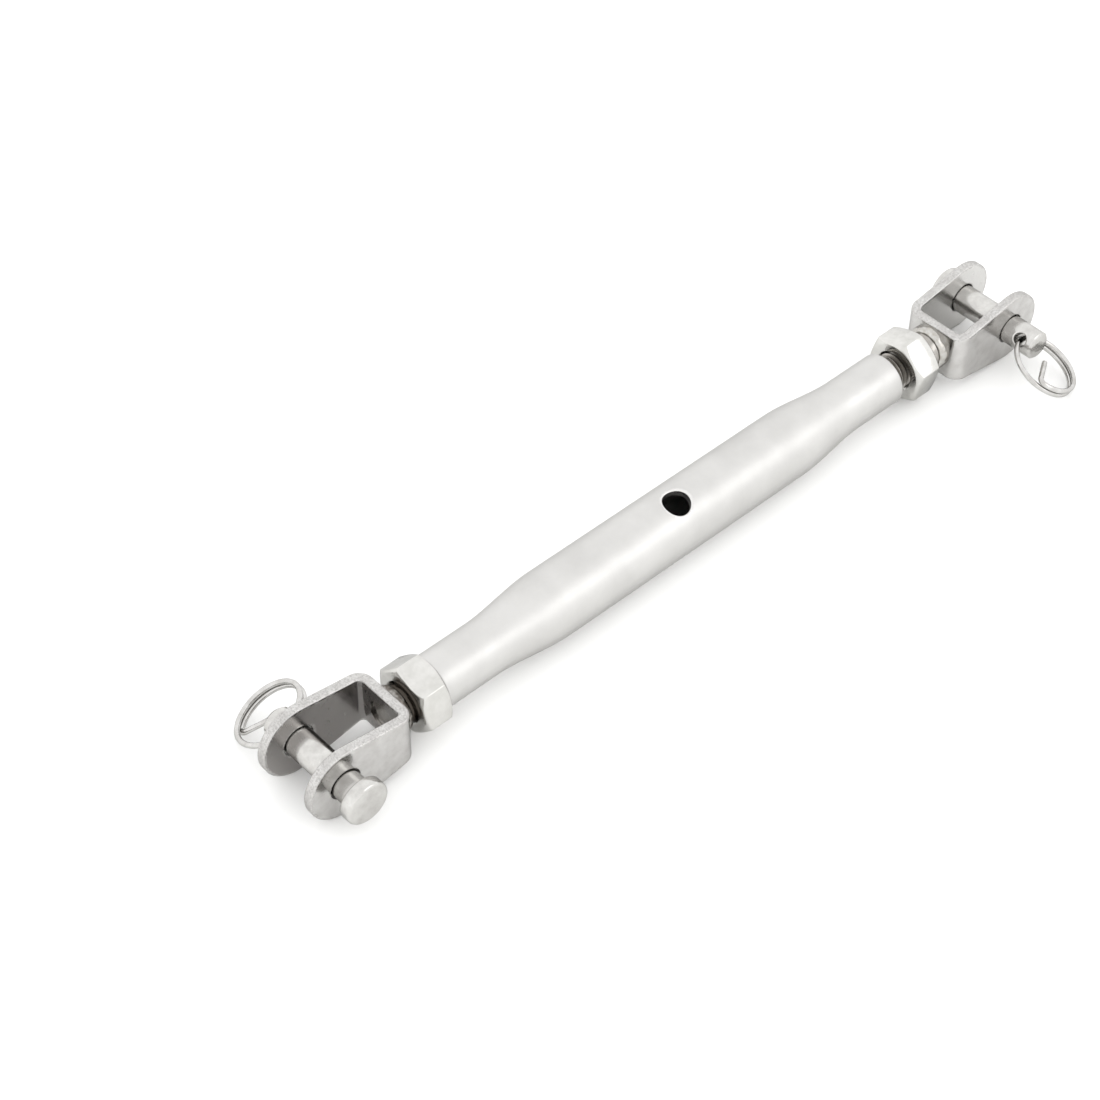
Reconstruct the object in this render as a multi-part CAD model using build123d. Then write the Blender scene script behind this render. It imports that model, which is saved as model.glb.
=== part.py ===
from build123d import *
import math
import os

# Closed-body rigging turnbuckle with a bent-strap jaw at each end, in mm.
# X runs along the screw axis, Y along the clevis pins, Z is up. The origin is the
# centre of the tube, on the axis of its tommy-bar hole.

# Screw thread, right-hand at -X and left-hand at +X
THREAD_SIZE = 8.0              # M8 x 1.25
CREST_ALLOWANCE = 0.015        # crests of the rolled thread lie this far below the size
THREAD_CLEARANCE = 0.065       # radial, between a stud and a bore that runs on it
THREAD_CHAMFER = 0.8
STUD_LENGTH = 61.0             # from the outer face of the jaw's base
SHANK_LENGTH = 3.6             # plain part next to the weld
SHANK_RADIUS = THREAD_SIZE / 2
THREAD_RADIUS = SHANK_RADIUS - CREST_ALLOWANCE
BORE_RADIUS = THREAD_RADIUS + THREAD_CLEARANCE
SPIGOT_RADIUS = SHANK_RADIUS - 0.8
SPIGOT_RECESS = 0.5

# Body tube
BODY_LENGTH = 120.0
BODY_RADIUS = 7.0
BODY_END_WALL = 1.45           # round the threaded bores
BODY_END_RADIUS = BORE_RADIUS + BODY_END_WALL
BODY_STRAIGHT = 62.0           # length of the full-diameter middle
BODY_SWAGE = 17.0              # length of each taper
BODY_WALL = 1.5
BODY_LIP = 0.4                 # chamfer inside and outside each end face
THREADED_END = 16.0            # length of the threaded bore in each end
TOMMY_RADIUS = 2.75
TOMMY_EDGE = 0.3
TOMMY_TILT = 14.0              # degrees, hole axis leans from +Z towards -Y

# Lock nuts
NUT_FLATS = 13.0
NUT_THICKNESS = 6.3
NUT_CHAMFER_ANGLE = 30.0
NUT_FACE_RADIUS = NUT_FLATS / 2 - 0.4    # where the chamfer meets the face
NUT_COUNTERSINK = 0.45
NUT_ROLL = {"rh": 16.5, "lh": -17.3}
NUT_GAP = {"rh": 0.05, "lh": 3.1}        # from the tube's end face

# Jaws
JAW_GAP = 11.0
STRAP = 2.0
EAR_RADIUS = 7.8
PIN_TO_BASE = 16.2             # pin axis to the outer face of the base
BEND_INNER_RADIUS = 1.0
STRAP_EDGE = 0.35
WELD_RADIUS = SHANK_RADIUS + 0.85
WELD_HEIGHT = 1.9
BASE_HALF_HEIGHT = WELD_RADIUS + 0.4
JAW_HALF_WIDTH = JAW_GAP / 2 + STRAP
PIN_FROM_TUBE = {"rh": 25.4, "lh": 30.4}    # pin axis to the tube's end face

# Clevis pins
PIN_RADIUS = 3.0
PIN_CLEARANCE = 0.25           # radial, in the ears
EAR_HOLE_RADIUS = PIN_RADIUS + PIN_CLEARANCE
PIN_LENGTH = 2 * JAW_HALF_WIDTH + 8.3       # underside of head to free end
PIN_CHAMFER = 0.45
HEAD_RADIUS = PIN_RADIUS + 1.5
HEAD_THICKNESS = 2.5
HEAD_EDGE = 0.7
HEAD_PLAY = {"rh": 3.7, "lh": 0.8}          # underside of head to the ear
CROSS_HOLE_FLARE = 0.35
CROSS_HOLE_FROM_END = 3.1
CROSS_HOLE_TILT = 62.0         # degrees from +Z, towards the body

# Cotter rings, angles counted round the ring from its point furthest from the pin
WIRE_RADIUS = 0.55
RING_RADIUS = 7.0              # to the centre of the wire
RING_LAYER = 2 * WIRE_RADIUS + 0.08         # offset between the two turns
RING_TILT = 67.0               # degrees from +Z, line of the wire through the cross hole
RING_SAG = PIN_RADIUS ** 2 / (2 * RING_RADIUS)    # bow of the wire across the pin
CROSS_HOLE_RADIUS = WIRE_RADIUS + RING_SAG / 2 + 0.53
RING_LEAN = {"rh": -25.0, "lh": -21.5}
RING_FACE = {"rh": -1, "lh": 1}             # which way round it is threaded on
LAP_START = 50.0               # where the tail's bend joins the first turn
LAP_END = -500.0
LAP_EASE = 20.0                # the sideways shift ends this much before the first turn closes
TAIL_BEND = 1.1
TAIL_TIP_RADIUS = 0.5
TAIL_TIP_ANGLE = 165.0

HALF_BODY = BODY_LENGTH / 2


def outward(end):
    """Direction along X from the tube to an end's jaw."""
    return -1 if end == "rh" else 1


def save(part, name):
    """Writes one solid to its own STEP file."""
    part.label = name
    export_step(part, f"parts/{name}.step")


def revolved(points):
    """Solid of revolution about X from a closed outline of (x, radius) points."""
    outline = Polyline(*[(x, r, 0) for x, r in points], close=True)
    return revolve(make_face(outline), Axis.X)


def end_frame(end):
    """Location of an end's pin axis, its +X pointing away from the body."""
    turn = 180 if end == "rh" else 0
    pin_x = outward(end) * (HALF_BODY + PIN_FROM_TUBE[end])
    return Pos(pin_x, 0, 0) * Rot(0, 0, turn)


def body_tube():
    """Tube with swaged, threaded ends and a tommy-bar hole across its middle."""
    mid = BODY_STRAIGHT / 2
    neck = mid + BODY_SWAGE
    inner_mid = BODY_RADIUS - BODY_WALL
    bore_start = HALF_BODY - THREADED_END
    lip = BODY_LIP
    outer = [
        Line((0, BODY_RADIUS), (mid, BODY_RADIUS)),
        Spline((mid, BODY_RADIUS), (neck, BODY_END_RADIUS), tangents=[(1, 0), (1, 0)]),
        Line((neck, BODY_END_RADIUS), (HALF_BODY - lip, BODY_END_RADIUS)),
        Line((HALF_BODY - lip, BODY_END_RADIUS), (HALF_BODY, BODY_END_RADIUS - lip)),
        Line((HALF_BODY, BODY_END_RADIUS - lip), (HALF_BODY, BORE_RADIUS + lip)),
        Line((HALF_BODY, BORE_RADIUS + lip), (HALF_BODY - lip, BORE_RADIUS)),
        Line((HALF_BODY - lip, BORE_RADIUS), (bore_start, BORE_RADIUS)),
        Spline((bore_start, BORE_RADIUS), (mid, inner_mid), tangents=[(-1, 0), (-1, 0)]),
        Line((mid, inner_mid), (0, inner_mid)),
        Line((0, inner_mid), (0, BODY_RADIUS)),
    ]
    half = make_face(outer)
    tube = revolve(half + mirror(half, Plane.YZ), Axis.X)
    tube -= Rot(TOMMY_TILT, 0, 0) * Cylinder(TOMMY_RADIUS, 3 * BODY_RADIUS)
    mid_wall = BODY_RADIUS - BODY_WALL / 2
    near_hole = tube.edges().filter_by(lambda e: abs(e.bounding_box().max.X - TOMMY_RADIUS) < 0.01)
    loops = near_hole.filter_by(lambda e: e.length > BODY_RADIUS)
    rim = loops.filter_by(lambda e: math.hypot(e.center().Y, e.center().Z) > mid_wall)
    return fillet(rim, TOMMY_EDGE)


def lock_nut(end):
    """Hexagon nut, chamfered on both faces, bored to run on a stud."""
    half = NUT_THICKNESS / 2
    corner = NUT_FLATS / 2 / math.cos(math.pi / 6)
    drop = (corner - NUT_FACE_RADIUS) * math.tan(math.radians(NUT_CHAMFER_ANGLE))
    chamfered = revolved([(-half, 0), (-half, NUT_FACE_RADIUS), (drop - half, corner),
                          (half - drop, corner), (half, NUT_FACE_RADIUS), (half, 0)])
    hexagon = extrude(Plane.YZ * RegularPolygon(corner, 6), half, both=True)
    mouth = BORE_RADIUS + NUT_COUNTERSINK
    inset = half - NUT_COUNTERSINK
    beyond = half + 1
    drill = revolved([(-beyond, 0), (-beyond, mouth), (-half, mouth), (-inset, BORE_RADIUS),
                      (inset, BORE_RADIUS), (half, mouth), (beyond, mouth), (beyond, 0)])
    nut = (hexagon & chamfered) - drill
    middle = outward(end) * (HALF_BODY + NUT_GAP[end] + half)
    return Pos(middle, 0, 0) * Rot(NUT_ROLL[end], 0, 0) * nut


def stud(end):
    """Threaded stud with a plain shank and the spigot that sits in the jaw's base."""
    base = -PIN_TO_BASE
    tip = base - STUD_LENGTH
    shank = base - SHANK_LENGTH
    nose = base + STRAP - SPIGOT_RECESS
    rod = revolved([(nose, 0), (nose, SPIGOT_RADIUS), (base, SPIGOT_RADIUS), (base, SHANK_RADIUS),
                    (shank, SHANK_RADIUS), (shank, THREAD_RADIUS),
                    (tip + THREAD_CHAMFER, THREAD_RADIUS), (tip, THREAD_RADIUS - THREAD_CHAMFER), (tip, 0)])
    return end_frame(end) * rod


def jaw_strap(end):
    """Flat strap bent to a U, its round ears wider than its base."""
    base = -PIN_TO_BASE
    far = EAR_RADIUS + 1
    outer_bend = BEND_INNER_RADIUS + STRAP
    outer = Pos((base + far) / 2, 0) * Rectangle(far - base, 2 * JAW_HALF_WIDTH)
    corners = outer.vertices().filter_by(lambda v: v.X < 0)
    outer = fillet(corners, outer_bend)
    inner = Pos((base + STRAP + far + 1) / 2, 0) * Rectangle(far + 1 - base - STRAP, JAW_GAP)
    corners = inner.vertices().filter_by(lambda v: v.X < 0)
    inner = fillet(corners, BEND_INNER_RADIUS)
    channel = extrude(outer - inner, 2 * EAR_RADIUS, both=True)

    reach = math.hypot(PIN_TO_BASE, BASE_HALF_HEIGHT)
    slope = math.asin(EAR_RADIUS / reach) - math.atan2(BASE_HALF_HEIGHT, PIN_TO_BASE)
    tx = -EAR_RADIUS * math.sin(slope)
    tz = EAR_RADIUS * math.cos(slope)
    web = Polyline((base, -BASE_HALF_HEIGHT), (base, BASE_HALF_HEIGHT), (tx, tz), (tx, -tz), close=True)
    side = make_face(web) + Circle(EAR_RADIUS)
    blank = extrude(Plane.XZ * side, 2 * JAW_HALF_WIDTH, both=True)
    strap = channel & blank
    rolled = strap.edges().filter_by(lambda e: abs(e.center().Z) > BASE_HALF_HEIGHT - 0.4 or e.center().X > 0)
    strap = fillet(rolled, STRAP_EDGE)
    strap -= Rot(90, 0, 0) * Cylinder(EAR_HOLE_RADIUS, 3 * JAW_HALF_WIDTH)
    strap -= Pos(base, 0, 0) * Rot(0, 90, 0) * Cylinder(SPIGOT_RADIUS, 4 * STRAP)
    return end_frame(end) * strap


def weld_bead(end):
    """Ring of weld metal between the shank and the jaw's base."""
    base = -PIN_TO_BASE
    toe = (base, WELD_RADIUS)
    crown = (base - WELD_HEIGHT * 0.62, SHANK_RADIUS + (WELD_RADIUS - SHANK_RADIUS) * 0.72)
    top = (base - WELD_HEIGHT, SHANK_RADIUS)
    heel = (base, SHANK_RADIUS)
    outline = [ThreePointArc(toe, crown, top), Line(top, heel), Line(heel, toe)]
    return end_frame(end) * revolve(make_face(outline), Axis.X)


def head_standoff(end):
    """Distance from the jaw's middle to the underside of the pin's head."""
    return JAW_HALF_WIDTH + HEAD_PLAY[end]


def pin_frame(end):
    """Location of the underside of a pin's head, +Z along the pin to its head."""
    return end_frame(end) * Pos(0, head_standoff(end), 0) * Rot(-90, 0, 0)


def clevis_pin(end):
    """Headed pin with a cross hole near its free end."""
    head = Pos(0, 0, HEAD_THICKNESS / 2) * Cylinder(HEAD_RADIUS, HEAD_THICKNESS)
    head = fillet(head.edges().group_by(Axis.Z)[-1], HEAD_EDGE)
    head = fillet(head.edges().group_by(Axis.Z)[0], HEAD_EDGE / 3)
    shaft = Pos(0, 0, -PIN_LENGTH / 2) * Cylinder(PIN_RADIUS, PIN_LENGTH)
    shaft = chamfer(shaft.edges().group_by(Axis.Z)[0], PIN_CHAMFER)
    pin = pin_frame(end) * (head + shaft)
    hole = end_frame(end) * Pos(0, hole_y(end), 0) * Rot(0, -CROSS_HOLE_TILT, 0)
    drill = Cylinder(CROSS_HOLE_RADIUS, 4 * PIN_RADIUS)
    flare = Pos(0, 0, PIN_RADIUS - CROSS_HOLE_FLARE + 0.5) * Cone(CROSS_HOLE_RADIUS, CROSS_HOLE_RADIUS + 1, 1)
    drill += flare
    drill += Rot(180, 0, 0) * flare
    return pin - hole * drill


def hole_y(end):
    """Height of the cross hole along the pin, in the end's frame."""
    return head_standoff(end) - PIN_LENGTH + CROSS_HOLE_FROM_END


def ring_offset(t):
    """Sideways offset of the wire at t degrees round the ring, zero in the cross hole."""
    start = LAP_END + 360
    finish = LAP_START - 360 + LAP_EASE

    def eased(angle):
        share = min(max((start - angle) / (start - finish), 0), 1)
        return share * share * (3 - 2 * share)

    return RING_LAYER * (eased(t) - eased(-180))


def tail_points():
    """Straight tail and its bend, in the ring's plane, ending where the first turn starts."""
    tip_angle = math.radians(TAIL_TIP_ANGLE)
    start = math.radians(LAP_START)
    inner = RING_RADIUS - TAIL_BEND
    tip = Vector(TAIL_TIP_RADIUS * math.cos(tip_angle), TAIL_TIP_RADIUS * math.sin(tip_angle))
    bend = Vector(inner * math.cos(start), inner * math.sin(start))
    gap = bend - tip
    turn = math.degrees(math.asin(TAIL_BEND / gap.length))
    straight = math.sqrt(gap.length ** 2 - TAIL_BEND ** 2)
    knee = tip + gap.rotate(Axis.Z, turn).normalized() * straight
    knee_angle = math.atan2(knee.Y - bend.Y, knee.X - bend.X)
    if knee_angle < start:
        knee_angle += 2 * math.pi
    points = [tip, tip * 0.5 + knee * 0.5]
    for k in range(5):
        angle = knee_angle + (start - knee_angle) * k / 5
        points.append(bend + Vector(math.cos(angle), math.sin(angle)) * TAIL_BEND)
    return points


def cotter_ring(end):
    """Split ring of wire, one and a half turns, with one end bent in as a tail."""
    pin_end = Vector(0, -1, 0)
    tilt = math.radians(RING_TILT)
    lean = math.radians(RING_LEAN[end])
    along = Vector(-math.sin(tilt), 0, math.cos(tilt))
    out = pin_end * math.cos(lean) + along.cross(pin_end) * math.sin(lean)
    centre = Vector(0, hole_y(end), 0) + out * (RING_RADIUS - RING_SAG / 2)
    along = along * RING_FACE[end]
    normal = out.cross(along)
    first = ring_offset(LAP_START)
    points = [centre + out * p.X + along * p.Y + normal * first for p in tail_points()]
    steps = 54
    for k in range(steps + 1):
        t = LAP_START + (LAP_END - LAP_START) * k / steps
        a = math.radians(t)
        turn = out * (RING_RADIUS * math.cos(a)) + along * (RING_RADIUS * math.sin(a))
        points.append(centre + turn + normal * ring_offset(t))
    path = Spline(*points)
    section = Plane(origin=path @ 0, z_dir=path % 0) * Circle(WIRE_RADIUS)
    return end_frame(end) * sweep(section, path=path)


os.makedirs("parts", exist_ok=True)
save(body_tube(), "body_tube")
for end in ("rh", "lh"):
    save(lock_nut(end), f"{end}_lock_nut")
    save(stud(end), f"{end}_stud")
    save(jaw_strap(end), f"{end}_jaw_strap")
    save(weld_bead(end), f"{end}_weld_bead")
    save(clevis_pin(end), f"{end}_clevis_pin")
    save(cotter_ring(end), f"{end}_cotter_ring")
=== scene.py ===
import logging
import math
from dataclasses import dataclass, field, replace
from enum import Enum
from typing import Callable, Sequence

import bmesh
import bpy
from mathutils import Euler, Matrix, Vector


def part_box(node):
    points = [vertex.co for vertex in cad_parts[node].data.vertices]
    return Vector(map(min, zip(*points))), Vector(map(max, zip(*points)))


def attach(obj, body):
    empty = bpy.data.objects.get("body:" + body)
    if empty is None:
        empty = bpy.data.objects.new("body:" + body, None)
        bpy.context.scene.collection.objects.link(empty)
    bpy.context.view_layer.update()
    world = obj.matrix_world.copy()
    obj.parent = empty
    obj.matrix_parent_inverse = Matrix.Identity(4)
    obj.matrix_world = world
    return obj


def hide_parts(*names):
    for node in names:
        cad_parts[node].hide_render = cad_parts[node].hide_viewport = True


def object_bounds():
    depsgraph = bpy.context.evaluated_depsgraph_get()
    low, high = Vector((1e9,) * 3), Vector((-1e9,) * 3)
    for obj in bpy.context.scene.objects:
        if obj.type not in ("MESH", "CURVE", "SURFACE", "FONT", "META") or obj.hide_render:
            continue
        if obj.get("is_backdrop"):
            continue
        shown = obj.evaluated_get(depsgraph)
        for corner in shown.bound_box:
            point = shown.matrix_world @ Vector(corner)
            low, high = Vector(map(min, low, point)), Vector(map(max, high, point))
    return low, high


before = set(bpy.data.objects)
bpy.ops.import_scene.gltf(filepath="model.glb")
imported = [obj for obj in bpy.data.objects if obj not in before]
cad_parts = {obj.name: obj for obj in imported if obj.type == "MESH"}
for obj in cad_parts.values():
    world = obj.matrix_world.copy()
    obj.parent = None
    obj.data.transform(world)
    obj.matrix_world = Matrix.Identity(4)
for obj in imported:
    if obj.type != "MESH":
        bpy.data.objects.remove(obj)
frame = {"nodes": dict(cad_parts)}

# Looks of a closed-body rigging turnbuckle. Sizes in the classes below are in mm, and
# every mesh is written in metres in the frame's own axes: X along the screws, Y along
# the clevis pins, Z up.

MM = 0.001
WELD_MM = 0.002               # points nearer than this are merged
SLIVER_MM = 0.0002            # edges shorter than this are dissolved
log = logging.getLogger("turnbuckle")

Tree = bpy.types.NodeTree
Socket = bpy.types.NodeSocket
Row = list[Vector]
Place = Callable[[float, float, float], Vector]


class End(Enum):
    """The two ends of the turnbuckle, named by the hand of their thread."""

    RIGHT_HAND = "rh"
    LEFT_HAND = "lh"

    @property
    def outward(self) -> int:
        """Direction along X from the body to this end's jaw."""
        return -1 if self is End.RIGHT_HAND else 1

    @property
    def helix(self) -> int:
        """+1 for a right-hand thread and -1 for a left-hand one."""
        return 1 if self is End.RIGHT_HAND else -1

    def node(self, part: str) -> str:
        """Name of this end's CAD node for a part."""
        return f"{self.value}_{part}"


# ---------------------------------------------------------------- node and mesh helpers


def linear_colour(code: str) -> tuple[float, float, float, float]:
    """Turns an sRGB hex colour into the linear one that shaders take.

    Args:
        code: six hex digits after a #.

    Returns:
        Linear red, green and blue, and an alpha of 1.
    """
    channels = [int(code[i:i + 2], 16) / 255 for i in (1, 3, 5)]
    linear = [c / 12.92 if c <= 0.04045 else ((c + 0.055) / 1.055) ** 2.4 for c in channels]
    return (linear[0], linear[1], linear[2], 1.0)


def per_metre(size_mm: float) -> float:
    """Texture scale that gives features about size_mm across on Object coordinates."""
    return 1 / (size_mm * MM)


def add_node(tree: Tree, kind: str, inputs: dict | None = None) -> bpy.types.Node:
    """Adds a node with its settings and its links.

    Args:
        tree: the shader or geometry tree.
        kind: the node's type.
        inputs: values by property name, or by the name or number of an input. A socket
            given as a value is linked.

    Returns:
        The new node.
    """
    node = tree.nodes.new(kind)
    for name, value in (inputs or {}).items():
        if isinstance(value, Socket):
            tree.links.new(value, node.inputs[name])
        elif name in node.bl_rna.properties.keys():
            setattr(node, name, value)
        else:
            node.inputs[name].default_value = value
    return node


def work_out(tree: Tree, known: dict[str, Socket], formula: tuple | str | float) -> Socket | float:
    """Works out a formula in nodes, one for each operation in it.

    Args:
        tree: the geometry tree.
        known: sockets by the names that the formula can use.
        formula: a number, a name, or an operation followed by the formulas it works on.

    Returns:
        The result's socket, or the number.
    """
    if not isinstance(formula, tuple):
        return known.get(formula, formula)
    operation, *operands = formula
    inputs = {place: work_out(tree, known, operand) for place, operand in enumerate(operands)}
    return add_node(tree, "ShaderNodeMath", {"operation": operation, **inputs}).outputs[0]


def work_out_all(tree: Tree, known: dict[str, Socket], formulas: dict[str, tuple]) -> None:
    """Works out named formulas in order, each able to use the results before it."""
    for name, formula in formulas.items():
        known[name] = work_out(tree, known, formula)


@dataclass
class Shell:
    """One closed piece, gathered as rows of points in mm and welded where they meet."""

    name: str
    corners: list[Vector] = field(default_factory=list)
    marks: list[float] = field(default_factory=list)
    faces: list[tuple[int, int, int, int]] = field(default_factory=list)

    def add_rows(self, rows: Sequence[Row], closed: bool = False, mark: float = 0.0) -> None:
        """Adds a sheet of quads through equal rows of points.

        Args:
            rows: the rows, each with the same number of points.
            closed: whether each row's last point joins its first.
            mark: value written to the points' zone attribute.
        """
        start = len(self.corners)
        count = len(rows[0])
        for row in rows:
            self.corners.extend(row)
            self.marks.extend([mark] * count)
        for i in range(len(rows) - 1):
            for j in range(count if closed else count - 1):
                a = start + i * count + j
                b = start + i * count + (j + 1) % count
                self.faces.append((a, b, b + count, a + count))

    def to_object(self, sharp: float = 34.0) -> bpy.types.Object:
        """Makes the Blender object, with its doubles merged and its faces outwards.

        Args:
            sharp: angle in degrees above which an edge is shaded as a crease.

        Returns:
            The object, at the origin, in metres.
        """
        mesh = bpy.data.meshes.new(self.name)
        mesh.from_pydata([c * MM for c in self.corners], [], self.faces)
        mesh.attributes.new("zone", "FLOAT", "POINT").data.foreach_set("value", self.marks)
        piece = bpy.data.objects.new(self.name, mesh)
        bpy.context.scene.collection.objects.link(piece)
        finish_mesh(mesh, sharp)
        return piece


def finish_mesh(mesh: bpy.types.Mesh, sharp: float = 34.0) -> None:
    """Merges a mesh's doubles, turns its faces outwards and sets its shading.

    Args:
        mesh: the mesh to finish, in metres.
        sharp: angle in degrees above which an edge is shaded as a crease.
    """
    work = bmesh.new()
    work.from_mesh(mesh)
    bmesh.ops.remove_doubles(work, verts=work.verts, dist=WELD_MM * MM)
    bmesh.ops.dissolve_degenerate(work, edges=work.edges, dist=SLIVER_MM * MM)
    bmesh.ops.recalc_face_normals(work, faces=work.faces)
    gaps = sum(1 for edge in work.edges if len(edge.link_faces) != 2)
    if gaps:
        log.warning("%s has %d open or crowded edges", mesh.name, gaps)
    work.to_mesh(mesh)
    work.free()
    mesh.shade_smooth()
    mesh.set_sharp_from_angle(angle=math.radians(sharp))


def grow(name: str, tree: Tree, values: dict, source: bpy.types.Mesh) -> bpy.types.Object:
    """Runs a Geometry Nodes tree on a mesh and keeps the result as a plain mesh.

    Args:
        name: the new object's name.
        tree: the geometry tree.
        values: values for the tree's inputs, by the inputs' names.
        source: the mesh that the tree starts from.

    Returns:
        The object, with no modifier left on it.
    """
    piece = bpy.data.objects.new(name, source)
    bpy.context.scene.collection.objects.link(piece)
    modifier = piece.modifiers.new(tree.name, "NODES")
    modifier.node_group = tree
    for item in tree.interface.items_tree:
        if item.in_out == "INPUT" and item.name in values:
            modifier[item.identifier] = values[item.name]
    graph = bpy.context.evaluated_depsgraph_get()
    mesh = bpy.data.meshes.new_from_object(piece.evaluated_get(graph), depsgraph=graph)
    piece.modifiers.clear()
    piece.data = mesh
    mesh.name = name
    mesh.materials.clear()
    mesh.materials.append(values["Material"])
    mesh.polygons.foreach_set("material_index", [0] * len(mesh.polygons))
    bpy.data.meshes.remove(source)
    return piece


def geometry_tree(name: str, sizes: Sequence[str]) -> tuple[Tree, dict[str, Socket]]:
    """Starts a geometry tree with a mesh, named numbers and a material as its inputs.

    Args:
        name: the tree's name.
        sizes: names of its number inputs.

    Returns:
        The tree, and its inputs' sockets by name.
    """
    tree = bpy.data.node_groups.new(name, "GeometryNodeTree")
    sockets = [("Geometry", "Geometry"), *((size, "Float") for size in sizes),
               ("Material", "Material")]
    for label, kind in sockets:
        tree.interface.new_socket(name=label, in_out="INPUT", socket_type=f"NodeSocket{kind}")
    tree.interface.new_socket(name="Geometry", in_out="OUTPUT", socket_type="NodeSocketGeometry")
    given = add_node(tree, "NodeGroupInput").outputs
    return tree, {label: given[label] for label, _ in sockets}


def close_tree(tree: Tree, material: Socket, result: Socket) -> None:
    """Ends a geometry tree in real geometry with its material.

    Args:
        tree: the geometry tree.
        material: the tree's material input.
        result: the geometry to finish.
    """
    real = add_node(tree, "GeometryNodeRealizeInstances", {0: result}).outputs[0]
    dressed = add_node(tree, "GeometryNodeSetMaterial", {"Geometry": real, "Material": material})
    add_node(tree, "NodeGroupOutput", {0: dressed.outputs[0]})


def smooth_step(share: float) -> float:
    """Eases a share of 0 to 1, level at both ends."""
    share = min(max(share, 0.0), 1.0)
    return share * share * (3 - 2 * share)


def quarter_turn(steps: int) -> list[tuple[float, float]]:
    """(1 - sin, 1 - cos) of angles from 0 to 90 degrees, for rounding an edge."""
    angles = [math.pi / 2 * i / steps for i in range(steps + 1)]
    return [(1 - math.sin(a), 1 - math.cos(a)) for a in angles]


def lathe_rows(profile: Sequence[tuple[float, float]], angles: Sequence[float],
               place: Place) -> list[Row]:
    """Rows of points round an axis.

    Args:
        profile: (distance along the axis, radius) pairs.
        angles: angles of the points of each row, from the third axis towards the second.
        place: gives a point's place from its distance along and its two offsets.

    Returns:
        One row for each pair.
    """
    return [[place(x, r * math.sin(a), r * math.cos(a)) for a in angles] for x, r in profile]


def even_angles(count: int) -> list[float]:
    """Equal angles round a full turn."""
    return [2 * math.pi * j / count for j in range(count)]


def rectangle_loop(across: Sequence[float], along: Sequence[float]) -> list[tuple[float, float]]:
    """Closed loop of points round a rectangle, at given stations of its sides.

    Args:
        across: stations of the first coordinate, low to high.
        along: stations of the second coordinate, low to high.

    Returns:
        The loop's points, each corner once.
    """
    loop = [(across[0], t) for t in along[:-1]]
    loop += [(s, along[-1]) for s in across[:-1]]
    loop += [(across[-1], t) for t in along[:0:-1]]
    loop += [(s, along[0]) for s in across[:0:-1]]
    return loop


@dataclass(frozen=True)
class CrossHole:
    """A round hole drilled square across a cylinder, through both its sides."""

    radius: float
    edge: float          # rounding or flare of each mouth
    reach: float         # half the length of cylinder that is remeshed round the mouths
    segments: int        # points round the cylinder
    stations: int = 40   # steps along the cylinder in that length
    margin: float = 1.7  # width of the remeshed patch, in radii of the hole

    def spread(self, surface: float) -> int:
        """Steps round the cylinder on each side of a mouth's centre."""
        return math.ceil(self.margin * self.radius / surface / (2 * math.pi / self.segments))

    def mouth(self, surface: float, radius: float, angle: float) -> tuple[float, float]:
        """Distance along and angle round a cylinder of a point of the hole's mouth."""
        return radius * math.cos(angle), math.asin(radius * math.sin(angle) / surface)

    def cut(self, shell: Shell, surface: float, spread: int, place: Place,
            edge: float) -> list[Row]:
        """Adds a length of cylinder with the hole's two mouths in it.

        Args:
            shell: the piece that it belongs to.
            surface: the cylinder's radius.
            spread: steps round the cylinder on each side of a mouth's centre.
            place: gives a point's place from its distance along and its two offsets.
            edge: rounding of the mouths, or 0.

        Returns:
            The ring of points where each mouth meets the hole's wall.
        """
        step = 2 * math.pi / self.segments
        along = [self.reach * (2 * i / self.stations - 1) for i in range(self.stations + 1)]
        round_mouth = [j * step for j in range(-spread, spread + 1)]
        half = self.segments // 2
        for first, last in ((spread, half - spread), (half + spread, self.segments - spread)):
            angles = [j * step for j in range(first, last + 1)]
            shell.add_rows(lathe_rows([(x, surface) for x in along], angles, place))

        loop = rectangle_loop(along, round_mouth)
        headings = [math.atan2(t * surface, x) for x, t in loop]
        walls = []
        for side in (1, -1):
            rows = []
            for share in [i / 12 for i in range(13)]:
                row = []
                for (x, t), heading in zip(loop, headings):
                    mx, mt = self.mouth(surface, self.radius + edge, heading)
                    px = x + (mx - x) * share
                    pt = t + (mt - t) * share
                    row.append(place(px, surface * math.sin(pt), side * surface * math.cos(pt)))
                rows.append(row)
            shell.add_rows(rows, closed=True)
            if edge:
                rows = [self.rim(surface, i / 5, edge, headings, side, place) for i in range(6)]
                shell.add_rows(rows, closed=True, mark=1.0)
            walls.append(rows[-1])
        return walls

    def rim(self, surface: float, share: float, edge: float, headings: Sequence[float],
            side: int, place: Place) -> Row:
        """One ring of the rounded rim, from the cylinder at share 0 to the wall at share 1.

        Args:
            surface: the cylinder's radius.
            share: how far round the rim the ring lies.
            edge: size of the rounding.
            headings: direction of each point from the hole's centre.
            side: +1 or -1, for the two mouths.
            place: gives a point's place.

        Returns:
            The ring's points.
        """
        row = []
        for heading in headings:
            level = [math.sqrt(surface ** 2 - (r * math.sin(heading)) ** 2)
                     for r in (self.radius + edge, self.radius)]
            weights = ((1 - share) ** 2, 2 * share * (1 - share), share ** 2)
            reach = self.radius + edge * weights[0]
            height = weights[0] * level[0] + weights[1] * level[1] + weights[2] * (level[1] - edge)
            row.append(place(reach * math.cos(heading), reach * math.sin(heading), side * height))
        return row


# ---------------------------------------------------------------- finishes


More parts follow.
